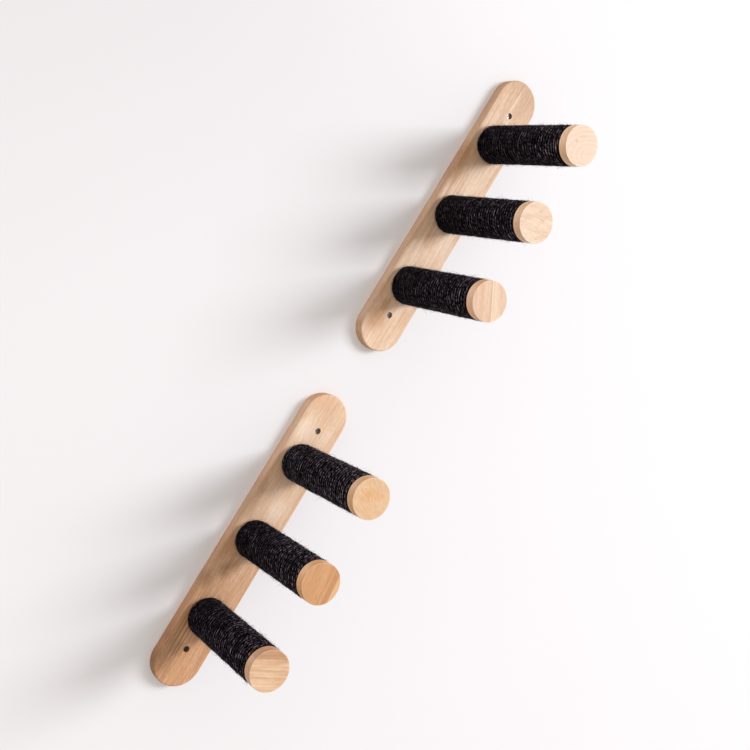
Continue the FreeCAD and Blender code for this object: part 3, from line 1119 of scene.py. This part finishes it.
@dataclass
class Studio:
    """The white wall, the soft light and the camera at the photograph's place."""

    eye: Point = (-0.62455, -1.32747, 0.47633)
    yaw: float = 0.5459
    pitch: float = 0.1769
    roll: float = -0.0372
    lens: float = 56.696
    sensor: float = 36.0
    nearest: float = 0.01
    middle: Point = (0.14, -0.1, 0.2)
    lamps: tuple[Lamp, ...] = (
        Lamp("key", (3.75, -3.95, 1.38), (2.9, 1.5), 209.0, (0.965, 1.0, 1.06)),
        Lamp("fill", (-1.3, -2.9, -1.3), (2.2, 2.2), 11.0),
        Lamp("rear", (-1.2, 2.4, 1.6), (1.6, 1.6), 38.0),
    )
    ambient: float = 0.655
    ambient_right: float = 0.35
    ambient_up: float = 0.3
    ambient_colour: Colour = (1.0, 0.97, 0.925)
    shaded_colour: Colour = (1.0, 0.92, 0.83)
    wall_colour: Colour = (0.738, 0.718, 0.734)
    # Painted shade on the wall paint towards the top left corner: its level and its spans across and up.
    wall_corner_shade: float = 0.885
    wall_mottle: float = 0.12
    wall_clouds: Point = (5.0, 5.0, 5.0)
    corner_shade_right: Pair = (0.45, -0.1)
    corner_shade_up: Pair = (0.2, 0.8)
    wall_glow: float = 0.11
    wall_half: float = 4.0
    wall_gap: float = 0.0004

    def camera(self) -> None:
        """Sets up the camera from its place, its turns and its lens."""
        data = bpy.data.cameras.new("camera")
        data.lens = self.lens
        data.sensor_width = self.sensor
        data.clip_start = self.nearest
        camera = bpy.data.objects.new("camera", data)
        aim = Euler((math.pi / 2.0 - self.pitch, 0.0, -self.yaw)).to_matrix()
        axes = aim @ Matrix.Rotation(-self.roll, 3, "Z")
        camera.matrix_world = Matrix.Translation(self.eye) @ axes.to_4x4()
        show(camera)
        bpy.context.scene.camera = camera

    def world(self) -> None:
        """Fills the room with soft light from the right and shows white where nothing stands."""
        world = bpy.data.worlds.new("room")
        world.use_nodes = True
        bpy.context.scene.world = world
        graph = Graph(world.node_tree)
        path = graph.add("ShaderNodeLightPath")
        seen = Field(graph, path.outputs["Is Camera Ray"])
        for other in ("Is Glossy Ray", "Is Transmission Ray"):
            seen = graph.math("MAXIMUM", seen, path.outputs[other])
        x, _, z = graph.split(graph.add("ShaderNodeTexCoord").outputs["Generated"])
        level = (x * self.ambient_right + z * self.ambient_up + 1.0) * self.ambient
        soft = graph.blend(x.ramp(-0.8, 0.8), self.shaded_colour, self.ambient_colour)
        background = world.node_tree.nodes["Background"]
        graph.feed(background.inputs["Color"], graph.blend(seen, soft, WHITE))
        graph.feed(background.inputs["Strength"], level + seen * (1.0 - level))

    def wall(self) -> None:
        """Puts up the wall, which lets the view and the light through from behind."""
        graph = SurfaceGraph("wall_paint")
        place = graph.place()
        mottle = graph.noise(place, self.wall_clouds, 1.0, 3.0)
        x, _, z = graph.split(place)
        # Painted shade: the paint darkens towards the top left corner, mixed with a faint random mottle.
        corner = x.ramp(*self.corner_shade_right) * z.ramp(*self.corner_shade_up)
        shade = mottle * self.wall_mottle + corner * (1.0 - self.wall_mottle)
        shaded_paint = tuple(value * self.wall_corner_shade for value in self.wall_colour)
        paint = graph.finish({
            "Base Color": graph.blend(shade, self.wall_colour, shaded_paint),
            "Roughness": 0.9,
            "Specular IOR Level": 0.1,
            "Emission Color": (*WHITE, 1.0),
            "Emission Strength": self.wall_glow,
        })
        behind = graph.add("ShaderNodeNewGeometry").outputs["Backfacing"]
        shadow = graph.add("ShaderNodeLightPath").outputs["Is Shadow Ray"]
        glass = graph.add("ShaderNodeBsdfTransparent").outputs[0]
        inputs = {0: graph.math("MAXIMUM", behind, shadow), 1: graph.shader.outputs[0], 2: glass}
        both = graph.add("ShaderNodeMixShader", inputs).outputs[0]
        graph.feed(graph.tree.nodes["Material Output"].inputs["Surface"], both)
        mesh = bpy.data.meshes.new("wall")
        corners = ((-1, -1), (1, -1), (1, 1), (-1, 1))
        spots = [(right * self.wall_half, self.wall_gap, up * self.wall_half) for right, up in corners]
        mesh.from_pydata(spots, [], [(0, 1, 2, 3)])
        mesh.materials.append(paint)
        wall = bpy.data.objects.new("wall", mesh)
        show(wall)

    def build(self) -> None:
        """Sets up the camera, the wall and the lights."""
        bpy.context.scene.view_settings.view_transform = "Standard"
        self.camera()
        self.world()
        self.wall()
        for lamp in self.lamps:
            lamp.hang(self.middle)


@dataclass
class WallScrew:
    """A countersunk wall screw with a cross recess and a rolled thread."""

    head_radius: float = 0.0039
    head_bevel: float = 0.00025
    rim: float = 0.0006
    shank_radius: float = 0.0014
    thread_radius: float = 0.002
    length: float = 0.05
    tip: float = 0.006
    tip_radius: float = 0.0003
    thread_start: float = 0.0115
    thread_pitch: float = 0.0018
    thread_rest: float = 0.0012
    thread_points: int = 560
    thread_sides: int = 3
    first_ridge: float = 0.15
    full_ridge: float = 0.06
    recess_width: float = 0.0010
    recess_reach: float = 0.0022
    recess_depth: float = 0.0019
    recess_turn: float = 0.5
    blade_top: float = -0.001
    blade_taper: Pair = (0.45, 0.6)
    sides: int = 40
    sharp: float = 32.0

    def body(self) -> Mesh:
        """Turns the head and shank about Y and cuts the cross recess.

        Returns:
            The screw without its thread, its head's face at Y = 0.
        """
        outline = (
            (self.head_radius - self.head_bevel, 0.0),
            (self.head_radius, self.head_bevel),
            (self.head_radius, self.rim),
            (self.shank_radius, self.rim + self.head_radius - self.shank_radius),
            (self.shank_radius, self.length - self.tip),
            (self.tip_radius, self.length),
        )
        angles = [math.tau * side / self.sides for side in range(self.sides)]
        ways = [(math.cos(angle), math.sin(angle)) for angle in angles]
        spots = [(radius * x, depth, radius * z) for radius, depth in outline for x, z in ways]
        rings = [range(first, first + self.sides) for first in range(0, len(spots), self.sides)]
        faces = [tuple(rings[0]), tuple(rings[-1])]
        for ring, following in zip(rings, rings[1:]):
            for side in range(self.sides):
                after = (side + 1) % self.sides
                faces.append((ring[side], ring[after], following[after], following[side]))
        return self._cut(solid("screw_body", spots, faces))

    def _blade(self, turned: float) -> Mesh:
        """Makes one tapered blade of the cross.

        Args:
            turned: How far the blade is turned about Y.

        Returns:
            The blade.
        """
        corners = []
        for depth, reach, width in ((self.blade_top, 1.0, 1.0), (self.recess_depth, *self.blade_taper)):
            for along, across in ((-1, -1), (1, -1), (1, 1), (-1, 1)):
                x = along * reach * self.recess_reach
                corners.append((x, depth, across * width * self.recess_width / 2.0))
        faces = [(0, 1, 2, 3), (7, 6, 5, 4)]
        faces += [(i, 4 + i, 4 + (i + 1) % 4, (i + 1) % 4) for i in range(4)]
        mesh = solid("recess_blade", corners, faces)
        mesh.transform(Matrix.Rotation(turned, 4, "Y"))
        return mesh

    def _cut(self, mesh: Mesh) -> Mesh:
        """Cuts the cross recess into the head.

        Args:
            mesh: The turned screw.

        Returns:
            The screw with its recess.
        """
        body = bpy.data.objects.new("screw_body", mesh)
        show(body)
        turns = (self.recess_turn, self.recess_turn + math.pi / 2.0)
        blades = [bpy.data.objects.new("blade", self._blade(turn)) for turn in turns]
        for blade in blades:
            show(blade)
            cut = body.modifiers.new("recess", "BOOLEAN")
            cut.operation = "DIFFERENCE"
            cut.solver = "EXACT"
            cut.object = blade
        view = bpy.context.evaluated_depsgraph_get()
        result = bpy.data.meshes.new_from_object(body.evaluated_get(view), depsgraph=view)
        for used in (body, *blades):
            bpy.data.objects.remove(used)
        result.shade_smooth()
        result.set_sharp_from_angle(angle=math.radians(self.sharp))
        return result

    def shape(self) -> NodeShape:
        """Builds the node tree that threads a screw and sets it in its place.

        Returns:
            The tree.
        """
        graph = NodeShape("threaded_screw", self)
        start, pitch, crest = graph.asks("Float", "Thread Start", "Thread Pitch", "Thread Radius")
        end, core, tip = graph.asks("Float", "Length", "Shank Radius", "Tip")
        (place,), (material,) = graph.asks("Vector", "Place"), graph.asks("Material", "Material")

        line, way = graph.paced(self.thread_points)
        depth = start + way * (end - start - self.thread_rest)
        angle = depth / pitch * math.tau
        narrowing = graph.math("MINIMUM", (end - depth) / tip, 1.0)
        radius = core * narrowing
        wound = graph.moved(line, graph.join(radius * angle.cos(), depth, radius * angle.sin()))
        inputs = {"Curve": wound, "Normal": graph.join(angle.cos(), 0.0, angle.sin())}
        faced = graph.add("GeometryNodeSetCurveNormal", inputs, mode="FREE").outputs[0]
        height = (crest - core) * narrowing * way.ramp(0.0, self.full_ridge, self.first_ridge, 1.0)
        ridge, _ = graph.tube(faced, height, self.thread_sides)
        both = graph.add("GeometryNodeJoinGeometry")
        for half in (ridge, graph.source.outputs["Geometry"]):
            graph.feed(both.inputs[0], half)
        moved = graph.add("GeometryNodeTransform", {"Geometry": both.outputs[0], "Translation": place})
        graph.ends(moved.outputs[0], material)
        return graph


@dataclass
class Workshop:
    """The finishes and node trees that all pieces share."""

    winding: NodeShape
    fibres: NodeShape
    screw: NodeShape
    screw_body: Mesh
    rope: Material
    paler_rope: Material
    hair: Material
    steel: Material
    tarnish: Material
    zinc: Material

    @classmethod
    def open(cls) -> "Workshop":
        """Builds the shared finishes and trees.

        Returns:
            The workshop.
        """
        screw = WallScrew()
        glint = (0.64, 0.54, 0.62)
        rope = RopeFinish("black_sisal", (0.0010, 0.0007, 0.0011), (0.43, 0.335, 0.425), glint)
        # A paler and more even copy of the rope finish, for one peg.
        paler_rope_and_wall_shade = RopeFinish("faded_sisal", (0.0012, 0.0008, 0.0013), (0.47, 0.37, 0.46), glint, 0.6, 0.35)
        hair = HairFinish("loose_fibre", (0.004, 0.0032, 0.004), (0.165, 0.135, 0.162))
        steel = SteelFinish("screw_plating", (0.34, 0.35, 0.36), (0.20, 0.21, 0.22), 0.30, 1.0)
        # A darker copy of the screw plating: painted shade and dark reflections for one screw, not another
        # steel.
        tarnish = SteelFinish("tarnished_plating", (0.105, 0.088, 0.068), (0.06, 0.05, 0.04), 0.36, 4.0)
        zinc = SteelFinish("insert_zinc", (0.52, 0.50, 0.46), (0.40, 0.39, 0.37), 0.45, 2.0)
        return cls(
            Winding().shape(), StrayFibres().shape(), screw.shape(), screw.body(),
            rope.build(), paler_rope_and_wall_shade.build(), hair.build(), steel.build(), tarnish.build(), zinc.build(),
        )


CORE_WOOD = WoodFinish((0.80, 0.56, 0.38), (0.62, 0.38, 0.23), lean=90.0)

CAPS: dict[tuple[Row, Level], CapWood] = {
    (Row.UPPER, Level.TOP): CapWood(
        (0.862, 0.686, 0.552), (0.745, 0.532, 0.388), 90.0, pith=(0.011, 0.004), pith_tilt=40.0,
        ring_gap=0.0052, ring=0.3, streak=0.3, pores=0.2, lines=0.14, mottle=0.15,
        tints=(
            Tint(-8.5, 5.7, 3.6, 3.2, Tone.KNOT, 0.6), Tint(1.7, 11.2, 4, 3.4, Tone.TOFFEE, 0.5),
            Tint(-14, 0, 8, 3, Tone.SAND, 0.45),
        ),
    ),
    (Row.UPPER, Level.MIDDLE): CapWood(
        (0.881, 0.716, 0.575), (0.747, 0.540, 0.383), 107.0, pores=0.9, streak=0.45, lines=0.4,
        tints=(
            Tint(9, 1.5, 5.5, 4, Tone.TOFFEE, 0.5), Tint(7, 14, 6, 4, Tone.TOFFEE, 0.5),
            Tint(1, -5, 6, 3, Tone.SAND, 0.4), Tint(-11, 7, 8, 4, Tone.TOFFEE, 0.4),
        ),
    ),
    (Row.UPPER, Level.BOTTOM): CapWood(
        (0.832, 0.632, 0.480), (0.718, 0.486, 0.336), 1.0, streak=0.55, lines=0.3,
        staves=(
            Stave(-30, 2.6, (0.747, 0.500, 0.348), 0.5),
            Stave(-13.5, -10, (0.651, 0.412, 0.263), 0.35, 1.5),
            Stave(0.8, 2.6, (0.612, 0.383, 0.232), 0.5, 0.5),
            Stave(2.8, 4.2, (0.919, 0.785, 0.645), 0.75, 0.4),
            Stave(4.2, 13, (0.881, 0.696, 0.544), 0.55, 1.2),
            Stave(15, 30, (0.766, 0.529, 0.373), 0.4, 3),
        ),
    ),
    (Row.LOWER, Level.TOP): CapWood(
        (0.815, 0.575, 0.375), (0.745, 0.464, 0.265), -32.0, streak=0.35, ring=0.2, lines=0.22, mottle=0.5,
        side_shade=(0.782, 0.669, 0.559),
        tints=(
            Tint(-3, 4.5, 15, 12, Tone.EMBER, 0.85), Tint(8, 1, 11, 7, Tone.EMBER, 0.6),
            Tint(-6, -12, 5, 3.5, Tone.EMBER, 0.4), Tint(-1.5, 1, 0.9, 4, Tone.FLECK, 0.6),
            Tint(2, 0, 0.9, 4, Tone.FLECK, 0.6),
        ),
    ),
    (Row.LOWER, Level.MIDDLE): CapWood(
        (0.685, 0.385, 0.193), (0.600, 0.302, 0.136), 28.0, streak=0.4, pores=0.4, ring=0.2, lines=0.45,
        side_shade=(0.993, 1.01, 0.934),
        staves=(
            Stave(-2.2, -1.2, (0.791, 0.493, 0.283), 0.45, 0.5),
            Stave(11.8, 18, (0.533, 0.255, 0.105), 0.5, 1.2),
            Stave(18.2, 30, (0.800, 0.507, 0.301), 0.8, 0.4),
        ),
    ),
    (Row.LOWER, Level.BOTTOM): CapWood(
        (0.871, 0.638, 0.454), (0.689, 0.421, 0.242), 103.0, streak=0.7, pores=0.6, ring=0.3,
        side_shade=(0.809, 0.709, 0.643),
        staves=(
            Stave(-30, -13.8, (0.54, 0.30, 0.165), 0.8, 1.3),
            Stave(-12.8, -11.2, (0.612, 0.363, 0.192), 0.4, 0.6),
            Stave(-1.5, 0, (0.612, 0.363, 0.192), 0.4, 0.5),
            Stave(7.2, 8.5, (0.632, 0.383, 0.212), 0.4, 0.6),
        ),
    ),
}

BOARDS: dict[Row, BoardWood] = {
    Row.LOWER: BoardWood(
        (1.0, 0.79, 0.62), (0.80, 0.53, 0.35), ring=0.25, streak=0.38, lines=0.9, mottle=0.75, calm=0.5,
        # Painted shade: the patches at across -12 to -28 mm to the lower left of the pegs, at along 87, 64,
        # 36, -26, -52, -72, -139, -150, -166, -186 and -190 mm, are painted peg shadows.
        tints=(
            Tint(0, -170, 110, 260, Tone.HONEY, 0.9), Tint(-19, 87, 24, 26, Tone.HONEY, 0.4),
            Tint(-28, 36, 10, 30, Tone.BISCUIT, 0.6), Tint(-19, -26, 24, 26, Tone.HONEY, 0.8),
            Tint(-12, -52, 13, 18, Tone.UMBER, 0.75), Tint(0, -42, 10, 12, Tone.RUSSET, 0.55),
            Tint(-27, -72, 12, 16, Tone.UMBER, 0.7), Tint(8, -74, 14, 14, Tone.AMBER, 0.5),
            Tint(8, 47, 20, 22, Tone.CREAM, 0.5), Tint(14, 160, 14, 20, Tone.CREAM, 0.4),
            Tint(-28, 64, 12, 20, Tone.RUSSET, 0.5), Tint(-13, -166, 12, 20, Tone.WALNUT, 0.7),
            Tint(-26, -150, 14, 36, Tone.WALNUT, 0.7), Tint(-19, -139, 24, 26, Tone.HONEY, 0.8),
            Tint(-26, -186, 18, 22, Tone.WALNUT, 0.8), Tint(-14, -190, 16, 30, Tone.RUSSET, 0.6),
            Tint(18, -160, 14, 30, Tone.AMBER, 0.5), Tint(-20.5, -155, 2.6, 80, Tone.DARK, 0.75),
            Tint(-14.5, -140, 1.4, 70, Tone.DARK, 0.85), Tint(-9.5, -160, 1.1, 56, Tone.DARK, 0.75),
            Tint(-25, -130, 1.2, 70, Tone.DARK, 0.8), Tint(3, -135, 1.4, 35, Tone.WALNUT, 0.45),
            Tint(13, -170, 1.4, 40, Tone.RUSSET, 0.2), Tint(-4, -62, 4, 22, Tone.UMBER, 0.2),
            Tint(6, -70, 3, 18, Tone.RUSSET, 0.2), Tint(15, -52, 5, 20, Tone.AMBER, 0.5),
            Tint(-15, -65, 3, 20, Tone.AMBER, 0.3), Tint(-18, 152, 20, 26, Tone.CREAM, 0.7),
            Tint(-16, 196, 30, 24, Tone.AMBER, 0.75), Tint(0, 180, 9, 18, Tone.WHEAT, 0.2),
            Tint(4, 168, 8, 14, Tone.STRAW, 0.55), Tint(4, 196, 3, 14, Tone.HONEY, 0.4),
        ),
        staves=(
            Stave(-34.5, -27.5, (0.66, 0.41, 0.26), 0.35, 1),
            Stave(26.5, 34.5, (0.70, 0.44, 0.28), 0.4, 1),
        ),
    ),
    Row.UPPER: BoardWood(
        (1.0, 0.80, 0.63), (0.80, 0.53, 0.36), ring=0.3, streak=0.35, lines=0.6, mottle=0.5,
        # Painted shade: the patches at across -6 to -28 mm to the lower left of the pegs, at along 87, 80,
        # 56, -26, -46, -139 and -152 mm, are painted peg shadows.
        tints=(
            Tint(0, 200, 90, 100, Tone.WHEAT, 0.75), Tint(0, 215, 60, 45, Tone.BISCUIT, 0.78),
            Tint(22, 205, 26, 45, Tone.BISCUIT, 0.4), Tint(-3, 182, 2, 30, Tone.CREAM, 0.6),
            Tint(-19, 87, 24, 26, Tone.HONEY, 0.55), Tint(-26, 56, 15, 36, Tone.RUST, 0.7),
            Tint(-19, -26, 24, 26, Tone.HONEY, 0.3), Tint(-6, -46, 14, 18, Tone.HONEY, 0.5),
            Tint(-19, -139, 24, 26, Tone.HONEY, 0.3), Tint(-15, -174, 16, 26, Tone.HONEY, 0.75),
            Tint(26, -45, 12, 30, Tone.CREAM, 0.5), Tint(-14, -152, 12, 16, Tone.RUSSET, 0.6),
            Tint(-28, -46, 12, 20, Tone.WHEAT, 0.5), Tint(-28, 80, 12, 22, Tone.RUST, 0.5),
            Tint(20, -152, 14, 22, Tone.AMBER, 0.45), Tint(2, 150, 3, 20, Tone.CREAM, 0.5),
            Tint(12, 185, 6, 40, Tone.WHEAT, 0.4), Tint(-5, -176, 10, 14, Tone.AMBER, 0.5),
            Tint(8, -168, 8, 20, Tone.AMBER, 0.5), Tint(0, -110, 12, 50, Tone.WHEAT, 0.35),
            Tint(-23, 60, 1.6, 120, Tone.WHEAT, 0.5),
        ),
        staves=(
            Stave(-34.5, -27.5, (0.66, 0.42, 0.27), 0.45, 1),
            Stave(25.5, 34.5, (0.74, 0.49, 0.33), 0.5, 1),
        ),
    ),
}

# The peg that gets the paler, more even rope.
PALER_ROPE_PEG = (Row.LOWER, Level.TOP)
# The screw whose plating copy is darkened with painted shade and dark reflections.
SHADED_SCREW = (Row.LOWER, ScrewEnd.BOTTOM)
CAP_SEED = 20.0
CORE_SEED = 40.0
FIBRE_SEED = 50


@dataclass
class Peg:
    """One peg of a board: its core, wound rope, loose fibres, end cap and fixings."""

    row: Row
    level: Level
    seed: int

    def node(self, part: str) -> str:
        """Gives the name of one of the peg's pieces."""
        return f"{self.row.value}_{part}_{self.level.value}"

    def wind(self, shop: Workshop) -> Object:
        """Winds the rope on.

        Args:
            shop: The shared finishes and trees.

        Returns:
            The wound rope.
        """
        finish = shop.paler_rope if (self.row, self.level) == PALER_ROPE_PEG else shop.rope
        values = {"Seed": self.seed, "Centre": box_middle(self.node("cap")), "Material": finish}
        piece = shop.winding.make(self.node("rope"), values)
        place_piece(piece, Slot.ROPE, self.node("sisal"))
        return piece

    def fray(self, shop: Workshop, rope: Object) -> None:
        """Lets loose fibres stand off the rope.

        Args:
            shop: The shared finishes and trees.
            rope: The wound rope.
        """
        seed, centre = self.seed + FIBRE_SEED, box_middle(self.node("cap"))
        values = {"Seed": seed, "Centre": centre, "Material": shop.hair}
        piece = shop.fibres.make(self.node("fibres"), values, rope.data.copy())
        place_piece(piece, Slot.ROPE)

    def build(self, shop: Workshop) -> None:
        """Builds and dresses the whole peg.

        Args:
            shop: The shared finishes and trees.
        """
        self.fray(shop, self.wind(shop))
        core = CORE_WOOD.on(self.node("core"), CORE_SEED + self.seed)
        cap = CAPS[self.row, self.level].on(self.node("cap"), CAP_SEED + self.seed)
        finishes = {"cap": cap, "core": core, "cap_pin": core, "insert": shop.zinc, "bolt": shop.steel}
        for part, finish in finishes.items():
            dress(self.node(part), finish)


@dataclass
class ClimbingRow:
    """One board on the wall with its three pegs and two wall screws."""

    row: Row
    first_seed: int

    def build(self, shop: Workshop) -> None:
        """Builds and dresses the row.

        Args:
            shop: The shared finishes and trees.
        """
        board = f"{self.row.value}_backboard"
        dress(board, BOARDS[self.row].on(board, float(self.first_seed)))
        for end in ScrewEnd:
            self.drive(shop, end)
        for number, level in enumerate(Level):
            Peg(self.row, level, self.first_seed + number).build(shop)

    def drive(self, shop: Workshop, end: ScrewEnd) -> None:
        """Sets one wall screw in the board.

        Args:
            shop: The shared finishes and trees.
            end: Which of the board's screws it is.
        """
        node = f"{self.row.value}_wall_screw_{end.value}"
        middle, (low, _) = box_middle(node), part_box(node)
        finish = shop.tarnish if (self.row, end) == SHADED_SCREW else shop.steel
        values = {"Place": (middle[0], low[1], middle[2]), "Material": finish}
        piece = shop.screw.make(f"{self.row.value}_screw_{end.value}", values, shop.screw_body.copy())
        place_piece(piece, Slot.SCREW, node)


def main() -> None:
    """Builds the climbing wall's looks piece by piece."""
    logging.basicConfig(level=logging.INFO, format="%(message)s")
    Studio().build()
    shop = Workshop.open()
    for number, row in enumerate(Row):
        ClimbingRow(row, 1 + len(Level) * number).build(shop)


if __name__ == "__main__":
    main()
